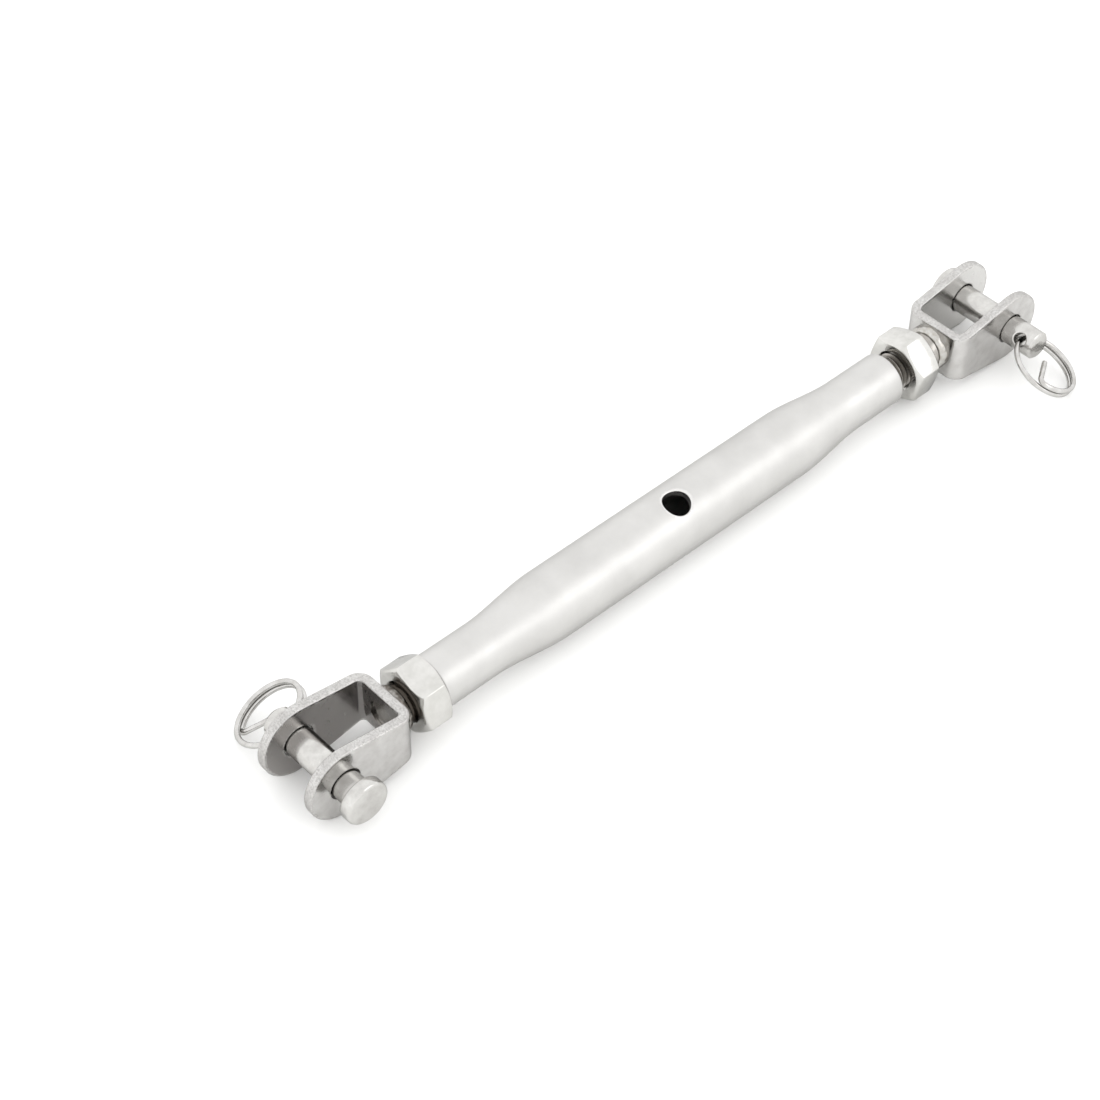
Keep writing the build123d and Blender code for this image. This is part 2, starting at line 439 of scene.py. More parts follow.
@dataclass
class Coat:
    """A finish being built: its tree, its coordinates and what feeds its shader so far."""

    tree: Tree
    place: Socket | None = None
    tone: Socket | None = None
    rough: Socket | None = None
    height: Socket | None = None

    def add(self, kind: str, inputs: dict | None = None, out: int | str = 0) -> Socket:
        """Adds a node to the finish's tree and returns one of its outputs."""
        return add_node(self.tree, kind, inputs).outputs[out]


@dataclass(frozen=True)
class SteelFinish:
    """Stainless steel as one of its surface treatments leaves it.

    The patches are faint stains and handling marks, the grain is the texture of the
    treatment, and the waves are the slow unevenness of formed or tumbled metal.
    """

    slot: str
    process: str
    tone: str
    shade: str
    roughness: float
    roughness_spread: float
    patch_mm: float
    grain_mm: float
    grain_depth_mm: float
    wave_mm: float
    wave_depth_mm: float
    grazing: float = 0.6          # how far the metal's reflection falls towards grazing angles

    def material(self) -> bpy.types.Material:
        """Builds the finish's nodes.

        Returns:
            The material, named for its process.
        """
        material = bpy.data.materials.new(self.process)
        material.use_nodes = True
        material.node_tree.nodes.clear()
        coat = Coat(material.node_tree)
        coat.place = coat.add("ShaderNodeTexCoord", out="Object")
        patches, grain, waves = (
            coat.add("ShaderNodeTexNoise", {"Scale": per_metre(size), "Detail": detail,
                                            "Roughness": fineness, "Vector": coat.place})
            for size, detail, fineness in ((self.patch_mm, 5.0, 0.6), (self.grain_mm, 3.0, 0.55),
                                           (self.wave_mm, 1.0, 0.4)))
        mottle = coat.add("ShaderNodeMapRange", {"From Min": 0.35, "From Max": 0.68,
                                                 "Value": patches})
        coat.tone = coat.add("ShaderNodeMix", {"data_type": "RGBA", 0: mottle,
                                               6: linear_colour(self.tone),
                                               7: linear_colour(self.shade)}, 2)
        coat.rough = coat.add("ShaderNodeMapRange", {
            "From Min": 0.3, "From Max": 0.7, "To Min": self.roughness - self.roughness_spread,
            "To Max": self.roughness + self.roughness_spread, "Value": patches})
        low = coat.add("ShaderNodeMath", {"operation": "MULTIPLY", 0: waves,
                                          1: self.wave_depth_mm * MM})
        coat.height = coat.add("ShaderNodeMath", {"operation": "MULTIPLY_ADD", 0: grain,
                                                  1: self.grain_depth_mm * MM, 2: low})
        self.dress(coat)
        bump = coat.add("ShaderNodeBump", {"Strength": 1.0, "Distance": 1.0, "Height": coat.height})
        shader = coat.add("ShaderNodeBsdfPrincipled", {
            "Metallic": 1.0, "Specular Tint": (self.grazing, self.grazing, self.grazing, 1.0),
            "Base Color": coat.tone, "Roughness": coat.rough, "Normal": bump})
        add_node(coat.tree, "ShaderNodeOutputMaterial", {0: shader})
        return material

    def dress(self, coat: Coat) -> None:
        """Adds nothing to the plain finish; other finishes add their own marks here."""


@dataclass(frozen=True)
class BlastedTube(SteelFinish):
    """Blasted tube whose drilled hole was deburred afterwards, so its rim is smoother, and painted
    brighter as a painted highlight.

    The mesh's zone attribute is 1 on the rim.
    """

    rim_tone: str = "#D3D2D0"
    rim_polish: float = 0.2

    def dress(self, coat: Coat) -> None:
        """Paints the hole's rim brighter as a painted highlight and smooths its metal.

        Args:
            coat: the finish so far.
        """
        zone = coat.add("ShaderNodeAttribute", {"attribute_name": "zone"}, "Fac")
        # painted highlight: the rim's colour is brightened
        coat.tone = coat.add("ShaderNodeMix", {"data_type": "RGBA", 0: zone, 6: coat.tone,
                                               7: linear_colour(self.rim_tone)}, 2)
        coat.rough = coat.add("ShaderNodeMath", {"operation": "MULTIPLY_ADD", 0: zone,
                                                 1: -self.rim_polish, 2: coat.rough})


@dataclass(frozen=True)
class RolledThread(SteelFinish):
    """Thread rolled bright on its crests, its roots painted dark as painted shade.

    Next to the weld the threads can be painted dark as painted shade for the gap there. The spigot
    past them, which sits inside the jaw, is left without painted shade.
    """

    root_mm: float = 3.25
    crest_mm: float = 3.8
    root_tone: str = "#3B352E"
    root_dulling: float = 0.3
    heat_tone: str = "#4B443D"
    heat_share: float = 0.9
    heat_from_mm: float | None = None     # X where the painted gap shade begins, or None for none
    heat_to_mm: float = 0.0               # X where it shows in full
    spigot_mm: float = 74.1       # distance from the body's middle past which the stud is spigot

    def dress(self, coat: Coat) -> None:
        """Darkens the metal with painted shade and dulls it with depth below the crests, and paints
        shade on the thread next to the weld.

        Args:
            coat: the finish so far.
        """
        across = coat.add("ShaderNodeVectorMath", {"operation": "MULTIPLY", 0: coat.place,
                                                   1: (0, 1, 1)})
        radius = coat.add("ShaderNodeVectorMath", {"operation": "LENGTH", 0: across}, "Value")
        # painted shade: the colour darkens with depth below the crests
        clean = coat.add("ShaderNodeMapRange", {
            "From Min": self.root_mm * MM, "From Max": self.crest_mm * MM, "Value": radius})
        x = coat.add("ShaderNodeSeparateXYZ", {0: coat.place}, "X")
        run = coat.add("ShaderNodeMath", {"operation": "ABSOLUTE", 0: x})
        spigot = coat.add("ShaderNodeMath", {"operation": "GREATER_THAN", 0: run,
                                             1: self.spigot_mm * MM})
        clean = coat.add("ShaderNodeMath", {"operation": "MAXIMUM", 0: clean, 1: spigot})
        coat.tone = coat.add("ShaderNodeMix", {"data_type": "RGBA", 0: clean,
                                               6: linear_colour(self.root_tone), 7: coat.tone}, 2)
        # painted shade on the thread next to the weld, for the gap there
        if self.heat_from_mm is not None:
            hot = coat.add("ShaderNodeMapRange", {
                "From Min": self.heat_from_mm * MM, "From Max": self.heat_to_mm * MM,
                "To Max": self.heat_share, "Value": x})
            hot = coat.add("ShaderNodeMath", {"operation": "SUBTRACT", "use_clamp": True,
                                              0: hot, 1: spigot})
            coat.tone = coat.add("ShaderNodeMix", {"data_type": "RGBA", 0: hot, 6: coat.tone,
                                                   7: linear_colour(self.heat_tone)}, 2)
        dull = coat.add("ShaderNodeMapRange", {"To Min": self.root_dulling, "To Max": 0.0,
                                               "Value": clean})
        coat.rough = coat.add("ShaderNodeMath", {"operation": "ADD", 0: coat.rough, 1: dull})


@dataclass(frozen=True)
class ShearedStrap(SteelFinish):
    """Tumbled strip steel, its blanked edges lightly torn, the inside of its U painted a tone of
    its own: painted shade on the near jaw, painted light on the far one.

    The mesh's zone attribute is 1 on the blanked edges, -1 inside the U and 0 elsewhere.
    """

    edge_tone: str = "#A3A19F"
    edge_dulling: float = 0.2
    # painted shade inside the U on the near jaw, painted light on the far one
    inside_tone: str = "#A3A09E"
    inside_dulling: float = 0.08
    tear_mm: float = 0.24
    tear_depth_mm: float = 0.02

    def dress(self, coat: Coat) -> None:
        """Draws the shear's marks across the cut edges and paints light and shade inside the U.

        Args:
            coat: the finish so far.
        """
        zone = coat.add("ShaderNodeAttribute", {"attribute_name": "zone"}, "Fac")
        cut = coat.add("ShaderNodeMapRange", {"To Max": 1.0, "Value": zone})
        # mask of the inside of the U, where light and shade are painted
        inside = coat.add("ShaderNodeMapRange", {"From Min": -0.2, "From Max": -1.0, "Value": zone})
        across = coat.add("ShaderNodeMapping", {"Scale": (1.0, 0.6, 1.0), "Vector": coat.place})
        tears = coat.add("ShaderNodeTexNoise", {"Scale": per_metre(self.tear_mm), "Detail": 2.0,
                                                "Vector": across})
        pits = coat.add("ShaderNodeMapRange", {"From Min": 0.42, "From Max": 0.68, "Value": tears})
        torn = coat.add("ShaderNodeMath", {"operation": "MULTIPLY", 0: pits, 1: cut})
        for share, tone in ((torn, self.edge_tone), (inside, self.inside_tone)):
            coat.tone = coat.add("ShaderNodeMix", {"data_type": "RGBA", 0: share, 6: coat.tone,
                                                   7: linear_colour(tone)}, 2)
        for share, dulling in ((cut, self.edge_dulling), (inside, self.inside_dulling)):
            coat.rough = coat.add("ShaderNodeMath", {"operation": "MULTIPLY_ADD", 0: share,
                                                     1: dulling, 2: coat.rough})
        coat.height = coat.add("ShaderNodeMath", {"operation": "MULTIPLY_ADD", 0: torn,
                                                  1: -self.tear_depth_mm * MM, 2: coat.height})


@dataclass(frozen=True)
class TurnedPin(SteelFinish):
    """Bar turned on a lathe: fine rings round the shaft and on the face of the head."""

    axis_x_mm: float = 0.0
    line_mm: float = 0.22
    line_depth_mm: float = 0.004

    def dress(self, coat: Coat) -> None:
        """Draws the tool's rings, which follow the distance along the pin and from its axis.

        Args:
            coat: the finish so far.
        """
        centred = coat.add("ShaderNodeMapping", {"Location": (-self.axis_x_mm * MM, 0, 0),
                                                 "Vector": coat.place})
        across = coat.add("ShaderNodeVectorMath", {"operation": "MULTIPLY", 0: centred,
                                                   1: (1, 0, 1)})
        radius = coat.add("ShaderNodeVectorMath", {"operation": "LENGTH", 0: across}, "Value")
        along = coat.add("ShaderNodeSeparateXYZ", {0: coat.place}, "Y")
        travel = coat.add("ShaderNodeMath", {"operation": "ADD", 0: radius, 1: along})
        lines = coat.add("ShaderNodeTexNoise", {
            "noise_dimensions": "1D", "Scale": per_metre(self.line_mm), "Detail": 2.0, "W": travel})
        coat.height = coat.add("ShaderNodeMath", {"operation": "MULTIPLY_ADD", 0: lines,
                                                  1: self.line_depth_mm * MM, 2: coat.height})


@dataclass(frozen=True)
class WeldMetal(SteelFinish):
    """Weld run with colour in blotches: a trace of heat colour on the far end, dark painted shade
    over nearly all of it on the near end.
    """

    # real heat colour on the far end; the near end's dark value is painted shade
    tint: str = "#9A8F80"
    tint_mm: float = 1.1
    tint_share: float = 0.35

    def dress(self, coat: Coat) -> None:
        """Adds the blotches: heat colour on the far end, painted shade on the near end.

        Args:
            coat: the finish so far.
        """
        blotch = coat.add("ShaderNodeTexNoise", {"Scale": per_metre(self.tint_mm), "Detail": 3.0,
                                                 "Vector": coat.place})
        share = coat.add("ShaderNodeMapRange", {
            "From Min": 0.5 - 0.4 * self.tint_share, "From Max": 0.75 - 0.2 * self.tint_share,
            "To Max": self.tint_share, "Value": blotch})
        coat.tone = coat.add("ShaderNodeMix", {"data_type": "RGBA", 0: share, 6: coat.tone,
                                               7: linear_colour(self.tint)}, 2)


# Bead blasting leaves a soft, almost grainless sheen: light spreads wide and even, so the
# tube shows one broad highlight. Glass beads are about 0.1 mm and are drawn at three times that.
BLASTED_TUBE = BlastedTube(
    slot="satin_tube", process="bead_blasted_stainless", tone="#C9C8C6", shade="#C1C0BE",
    roughness=0.43, roughness_spread=0.03, patch_mm=9.0,
    grain_mm=0.32, grain_depth_mm=0.010, wave_mm=14.0, wave_depth_mm=0.03, grazing=0.55)

# Barrel polishing rounds and brightens the nut but leaves it gently uneven, so its flats
# carry soft bent reflections and a few small dents.
POLISHED_NUT = SteelFinish(
    slot="polished_nut", process="barrel_polished_stainless", tone="#CDCCC9", shade="#C0BFBB",
    roughness=0.17, roughness_spread=0.05, patch_mm=3.0,
    grain_mm=0.6, grain_depth_mm=0.006, wave_mm=3.2, wave_depth_mm=0.05)

# Rolling leaves the crests bright and hard, and the roots are painted brown-grey as painted shade.
CLEAN_THREAD = RolledThread(
    slot="rolled_thread", process="rolled_thread_stainless", tone="#ABA8A4", shade="#918D87",
    roughness=0.22, roughness_spread=0.05, patch_mm=2.0,
    grain_mm=0.3, grain_depth_mm=0.004, wave_mm=4.0, wave_depth_mm=0.01)
# The near end's thread next to the weld is painted dark as painted shade for the gap there.
ROLLED_THREAD = {End.LEFT_HAND: CLEAN_THREAD,
                 End.RIGHT_HAND: replace(CLEAN_THREAD, process="heat_scaled_thread_stainless",
                                         heat_from_mm=-65.0, heat_to_mm=-66.6, spigot_mm=69.3)}

# Strip tumbled after bending is nearly a mirror with a slow ripple; its sheared edges are duller.
# The inside of the near jaw's U is painted a deeper grey as painted shade, and the far jaw's a
# little lighter as painted light.
BRIGHT_STRAP = ShearedStrap(
    slot="tumbled_strap", process="tumbled_strip_stainless", tone="#C9C8C6", shade="#B9B7B5",
    roughness=0.16, roughness_spread=0.05, patch_mm=2.6,
    grain_mm=0.45, grain_depth_mm=0.005, wave_mm=3.6, wave_depth_mm=0.06)
TUMBLED_STRAP = {End.RIGHT_HAND: BRIGHT_STRAP,
                 End.LEFT_HAND: replace(BRIGHT_STRAP, inside_tone="#CFCECC")}

# Weld metal freezes in overlapping lobes with bright crowns. Pickling leaves one end clean
# and shiny. On the other end the weld and the thread next to it are painted brown-grey, almost
# black, as painted shade for the deep gap by the jaw's base.
CLEAN_WELD = WeldMetal(
    slot="weld_metal", process="pickled_weld_stainless", tone="#C4C3C0", shade="#ABA9A5",
    roughness=0.20, roughness_spread=0.05, patch_mm=1.6,
    grain_mm=0.4, grain_depth_mm=0.004, wave_mm=1.6, wave_depth_mm=0.05)
# The near end's weld is painted dark as painted shade.
WELD_METAL = {End.LEFT_HAND: CLEAN_WELD,
              End.RIGHT_HAND: replace(CLEAN_WELD, process="scaled_weld_stainless", tint="#4F4740",
                                      tint_share=0.9)}

# Spring wire comes bright from its die, with a hard narrow glint along it.
DRAWN_WIRE = SteelFinish(
    slot="drawn_wire", process="bright_drawn_spring_wire", tone="#C6C5C3", shade="#B2B0AD",
    roughness=0.14, roughness_spread=0.04, patch_mm=2.2,
    grain_mm=0.35, grain_depth_mm=0.003, wave_mm=5.0, wave_depth_mm=0.01)


def turned_pin_finish(axis_x_mm: float) -> TurnedPin:
    """Turned and polished bar, its rings centred on a pin's axis.

    A turned surface throws a fine line of light across its rings, broken by the feed
    marks, which are near 0.05 mm apart and are drawn four times coarser.

    Args:
        axis_x_mm: place of the pin's axis along X.

    Returns:
        The finish.
    """
    return TurnedPin(
        slot="turned_pin", process="turned_bar_stainless", tone="#C9C8C5", shade="#B8B6B3",
        roughness=0.18, roughness_spread=0.05, patch_mm=2.4,
        grain_mm=0.4, grain_depth_mm=0.003, wave_mm=4.0, wave_depth_mm=0.02, axis_x_mm=axis_x_mm)


def fit_piece(piece: bpy.types.Object, finish: SteelFinish, body: str, node: str,
              material: bpy.types.Material | None = None) -> None:
    """Dresses a piece, puts it on its body in place of its CAD node and reports it.

    Args:
        piece: the finished mesh object.
        finish: its surface finish.
        body: the CAD body that it moves with.
        node: the CAD node that it stands for.
        material: the finish's material, if the mesh already has it.
    """
    if material is None:
        piece.data.materials.append(finish.material())
    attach(piece, body)
    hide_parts(node)
    log.info("%s: %d faces, %s, on %s", piece.name, len(piece.data.polygons), finish.process, body)


# ---------------------------------------------------------------- the body and its nuts


@dataclass
class BodyTube:
    """Swaged tube with a tommy-bar hole across its middle."""

    radius: float = 7.0
    half_length: float = 60.0
    end_radius: float = 5.5
    straight: float = 31.0        # half the full-diameter middle
    swage: float = 17.0
    wall: float = 1.5
    bore: float = 4.05
    bore_start: float = 44.0
    lip: float = 0.4
    tilt: float = 14.0            # degrees that the hole leans from +Z towards -Y
    hole: CrossHole = CrossHole(radius=2.75, edge=0.5, reach=5.2, segments=192)

    def place(self, x: float, y: float, z: float) -> Vector:
        """Turns a point of the upright tube to where its hole really points."""
        turn = math.radians(self.tilt)
        return Vector((x, y * math.cos(turn) - z * math.sin(turn),
                       y * math.sin(turn) + z * math.cos(turn)))

    def outer_profile(self) -> list[tuple[float, float]]:
        """Outside of one half, from the hole's band to the bore at the end face.

        Returns:
            (distance along, radius) pairs.
        """
        drop = self.radius - self.end_radius
        start = self.hole.reach
        profile = [(start + (self.straight - start) * i / 6, self.radius) for i in range(6)]
        profile += [(self.straight + self.swage * i / 40, self.radius - drop * smooth_step(i / 40))
                    for i in range(41)]
        face = self.half_length
        crown = self.end_radius - self.lip
        profile.append((face - self.lip - 2, self.end_radius))
        profile += [(face - self.lip * inset, crown + self.lip * (1 - fall))
                    for inset, fall in quarter_turn(4)]
        profile += [(face, self.bore + self.lip), (face - self.lip, self.bore)]
        return profile

    def inner_profile(self) -> list[tuple[float, float]]:
        """Inside of one half, from the threaded bore to the hole's band."""
        inner = self.radius - self.wall
        profile = [(self.half_length - self.lip, self.bore), (self.bore_start, self.bore)]
        for i in range(1, 21):
            x = self.bore_start + (self.straight - self.bore_start) * i / 20
            profile.append((x, self.bore + (inner - self.bore) * smooth_step(i / 20)))
        profile.append((self.hole.reach, inner))
        return profile

    def build(self) -> bpy.types.Object:
        """Makes the tube.

        Returns:
            The tube's object.
        """
        shell = Shell("body_tube_satin")
        spread = self.hole.spread(self.radius)
        outer = self.hole.cut(shell, self.radius, spread, self.place, self.hole.edge)
        inner = self.hole.cut(shell, self.radius - self.wall, spread, self.place, 0.0)
        for outside, inside in zip(outer, inner):
            shell.add_rows([outside, inside], closed=True)
        angles = even_angles(self.hole.segments)
        for side in (1, -1):
            for profile in (self.outer_profile(), self.inner_profile()):
                mirrored = [(side * x, r) for x, r in profile]
                shell.add_rows(lathe_rows(mirrored, angles, self.place), closed=True)
        return shell.to_object()

    def dress(self) -> None:
        """Builds the tube and puts it on its body."""
        fit_piece(self.build(), BLASTED_TUBE, "body", "body_tube")


@dataclass
class LockNut:
    """Hexagon lock nut, chamfered on both faces."""

    end: End
    roll: float                   # degrees that it is turned about the screw
    flats: float = 13.0
    corner_rounding: float = 0.35
    chamfer: float = 30.0
    face_radius: float = 6.1
    bore: float = 4.05
    countersink: float = 0.45
    softening: float = 0.14       # rounding where the chamfer meets the flats
    face_ease: float = 0.12       # width of the easing round each face
    face_drop: float = 0.02       # and its depth
    shoulder_drop: float = 0.06   # depth at the middle of the softening

    def outline(self) -> list[tuple[float, float]]:
        """Rounded hexagon as polar points.

        Returns:
            (angle, radius) pairs round the nut.
        """
        centre = (self.flats / 2 - self.corner_rounding) / math.cos(math.pi / 6)
        points = []
        for corner in range(6):
            middle = math.pi / 3 * corner
            arc = []
            for i in range(9):
                turn = middle + math.radians(-30 + 60 * i / 8)
                rounding = self.corner_rounding
                arc.append(Vector((centre * math.cos(middle) + rounding * math.cos(turn),
                                   centre * math.sin(middle) + rounding * math.sin(turn))))
            if points:
                points += [points[-1].lerp(arc[0], i / 16) for i in range(1, 16)]
            points += arc
        points += [points[-1].lerp(points[0], i / 16) for i in range(1, 16)]
        return [(math.atan2(p.y, p.x), p.length) for p in points]

    def build(self) -> bpy.types.Object:
        """Makes the nut where its CAD node is.

        Returns:
            The nut's object.
        """
        low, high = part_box(self.end.node("lock_nut"))
        half = (high.x - low.x) / MM / 2
        middle = (high.x + low.x) / MM / 2
        turn = math.radians(self.roll)
        slope = math.tan(math.radians(self.chamfer))
        outline = self.outline()

        def ring(distance: Callable[[float], float], radius: Callable[[float], float]) -> Row:
            """One ring of points, each placed from the outline's radius there."""
            return [Vector((middle + distance(r), radius(r) * math.cos(a + turn),
                            radius(r) * math.sin(a + turn))) for a, r in outline]

        face, soft, drop = self.face_radius, self.softening, self.face_drop
        rows = []
        for side in (-1, 1):
            part = [
                ring(lambda r: side * (half - self.countersink), lambda r: self.bore),
                ring(lambda r: side * half, lambda r: self.bore + self.countersink),
                ring(lambda r: side * half, lambda r: face - self.face_ease),
                ring(lambda r: side * (half - drop), lambda r: face),
                ring(lambda r: side * (half - drop - (r - soft - face) * slope),
                     lambda r: r - soft),
                ring(lambda r: side * (half - self.shoulder_drop - (r - face) * slope),
                     lambda r: r - soft * 0.3),
                ring(lambda r: side * (half - drop - soft - (r - face) * slope), lambda r: r),
            ]
            rows += part if side < 0 else list(reversed(part))
        shell = Shell(self.end.node("lock_nut_polished"))
        shell.add_rows(rows + [rows[0]], closed=True)
        return shell.to_object(sharp=40.0)

    def dress(self) -> None:
        """Builds the nut and puts it on its body."""
        fit_piece(self.build(), POLISHED_NUT, self.end.node("nut"), self.end.node("lock_nut"))


# ---------------------------------------------------------------- the jaws


@dataclass
class EndFrame:
    """One end's own axes: X away from the body, Y towards the pin's head, Z up."""

    end: End
    pin_x: float

    def __call__(self, x: float, y: float, z: float) -> Vector:
        """Place in the shared frame of a point in the end's axes."""
        side = self.end.outward
        return Vector((self.pin_x + side * x, side * y, z))

    @classmethod
    def of(cls, end: End) -> "EndFrame":
        """Axes of an end, centred on its clevis pin's CAD node."""
        low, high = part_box(end.node("clevis_pin"))
        return cls(end, (low.x + high.x) / 2 / MM)


@dataclass
class ThreadedStud:
    """Stud with a rolled thread, a plain shank and the spigot that is welded in the jaw."""

    frame: EndFrame
    base: float = -16.2           # outer face of the jaw's base, from the pin
    length: float = 61.0
    shank: float = 3.6
    shank_radius: float = 4.0
    spigot_radius: float = 3.2
    spigot: float = 1.5
    nose: float = 0.2             # chamfer on the spigot
    pitch: float = 1.25
    crest: float = 3.985
    root: float = 3.218
    tip_chamfer: float = 0.8
    run_out: float = 1.6
    segments: int = 96
    rows: int = 8                 # rows of points in each pitch

    @staticmethod
    def tree() -> Tree:
        """Builds the tree that winds a thread's profile round the screw's axis.

        The start is a flat grid. One side becomes the turn and the other the distance
        along, which is sheared by one pitch a turn, so the grid's lines follow the helix.
        The crests are an eighth of the pitch wide and the roots a quarter.

        Returns:
            The geometry tree.
        """
        names = ["Tip", "Direction", "Length", "Pitch", "Pitches", "Rows", "Segments", "Crest",
                 "Root", "Hand", "Chamfer", "Run Out", "Shank Radius"]
        tree, known = geometry_tree("helical_thread", names)
        work_out_all(tree, known, {
            "lines": ("MULTIPLY", "Pitches", "Rows"),
            "points along": ("ADD", "lines", 1.0),
            "points round": ("ADD", "Segments", 1.0)})
        grid = add_node(tree, "GeometryNodeMeshGrid", {
            "Size X": 1.0, "Size Y": 1.0, "Vertices X": known["points along"],
            "Vertices Y": known["points round"]}).outputs["Mesh"]
        position = add_node(tree, "GeometryNodeInputPosition").outputs[0]
        spot = add_node(tree, "ShaderNodeSeparateXYZ", {0: position}).outputs
        known |= {"grid x": spot["X"], "grid y": spot["Y"]}
        work_out_all(tree, known, {
            "step": ("ROUND", ("MULTIPLY", ("ADD", "grid x", 0.5), "lines")),
            "phase": ("SUBTRACT", ("DIVIDE", "step", "Rows"), 1.0),
            "turn": ("ADD", "grid y", 0.5),
            "ahead": ("MULTIPLY", ("MULTIPLY", "turn", "Hand"), "Direction"),
            "raw": ("MULTIPLY", ("ADD", "phase", "ahead"), "Pitch"),
            "along": ("MINIMUM", ("MAXIMUM", "raw", 0.0), "Length"),
            "swing": ("ABSOLUTE", ("SUBTRACT", ("FRACT", ("ADD", "phase", 1 - 1 / 16)), 0.5)),
            "cut": ("SUBTRACT", ("SUBTRACT", 1.0, ("MULTIPLY", "swing", 2.0)), 1 / 8),
            "depth": ("MINIMUM", ("MAXIMUM", ("DIVIDE", "cut", 5 / 8), 0.0), 1.0),
            "fall": ("SUBTRACT", "Crest", "Root"),
            "thread": ("SUBTRACT", "Crest", ("MULTIPLY", "depth", "fall")),
            "cone": ("ADD", ("SUBTRACT", "Crest", "Chamfer"), "along"),
            "rise": ("DIVIDE", ("SUBTRACT", "Length", "along"), "Run Out"),
            "ramp": ("SUBTRACT", "Shank Radius", ("MULTIPLY", "rise", "fall")),
            "radius": ("MAXIMUM", ("MINIMUM", "thread", "cone"), "ramp"),
            "angle": ("MULTIPLY", "turn", 2 * math.pi),
            "x": ("MULTIPLY_ADD", "along", "Direction", "Tip"),
            "y": ("MULTIPLY", "radius", ("COSINE", "angle")),
            "z": ("MULTIPLY", "radius", ("SINE", "angle"))})
        spiral = add_node(tree, "ShaderNodeCombineXYZ",
                          {0: known["x"], 1: known["y"], 2: known["z"]}).outputs[0]
        moved = add_node(tree, "GeometryNodeSetPosition",
                         {"Geometry": grid, "Position": spiral}).outputs[0]
        welded = add_node(tree, "GeometryNodeMergeByDistance",
                          {"Distance": WELD_MM * MM, "Geometry": moved}).outputs[0]
        close_tree(tree, known["Material"], welded)
        return tree

    def build(self, tree: Tree, material: bpy.types.Material) -> bpy.types.Object:
        """Makes the stud, its thread grown by nodes and its plain ends turned in code.

        Args:
            tree: the thread's geometry tree.
            material: the stud's material.

        Returns:
            The stud's object.
        """
        end = self.frame.end
        tip = self.frame(self.base - self.length, 0, 0).x
        threaded = self.length - self.shank
        pitches = math.ceil(threaded / self.pitch) + 2
        values = {"Tip": tip * MM, "Direction": float(end.outward), "Length": threaded * MM,
                  "Pitch": self.pitch * MM, "Pitches": float(pitches), "Rows": float(self.rows),
                  "Segments": float(self.segments), "Crest": self.crest * MM,
                  "Root": self.root * MM, "Hand": float(end.helix),
                  "Chamfer": self.tip_chamfer * MM, "Run Out": self.run_out * MM,
                  "Shank Radius": self.shank_radius * MM, "Material": material}
        name = end.node("stud_threaded")
        piece = grow(name, tree, values, bpy.data.meshes.new(name + "_start"))

        angles = [math.pi / 2 - a for a in even_angles(self.segments)]
        start = self.base - self.shank
        nose = self.base + self.spigot
        tip = self.base - self.length
        plain = [(start, self.shank_radius), (self.base, self.shank_radius),
                 (self.base, self.spigot_radius), (nose - self.nose, self.spigot_radius),
                 (nose, self.spigot_radius - self.nose), (nose, 0.0)]
        end_face = [(tip, self.crest - self.tip_chamfer), (tip, 0.0)]
        ends = Shell(end.node("stud_ends"))
        for profile in (plain, end_face):
            rows = [[Vector((self.frame(x, 0, 0).x, r * math.sin(a), r * math.cos(a)))
                     for a in angles] for x, r in profile]
            ends.add_rows(rows, closed=True)
        extra = bpy.data.meshes.new("stud_ends")
        extra.from_pydata([c * MM for c in ends.corners], [], ends.faces)
        work = bmesh.new()
        work.from_mesh(piece.data)
        work.from_mesh(extra)
        work.to_mesh(piece.data)
        work.free()
        bpy.data.meshes.remove(extra)
        finish_mesh(piece.data, sharp=38.0)
        return piece

    def dress(self, tree: Tree) -> None:
        """Builds the stud and puts it on its jaw.

        Args:
            tree: the thread's geometry tree.
        """
        end = self.frame.end
        finish = ROLLED_THREAD[end]
        material = finish.material()
        fit_piece(self.build(tree, material), finish, end.node("jaw"), end.node("stud"), material)


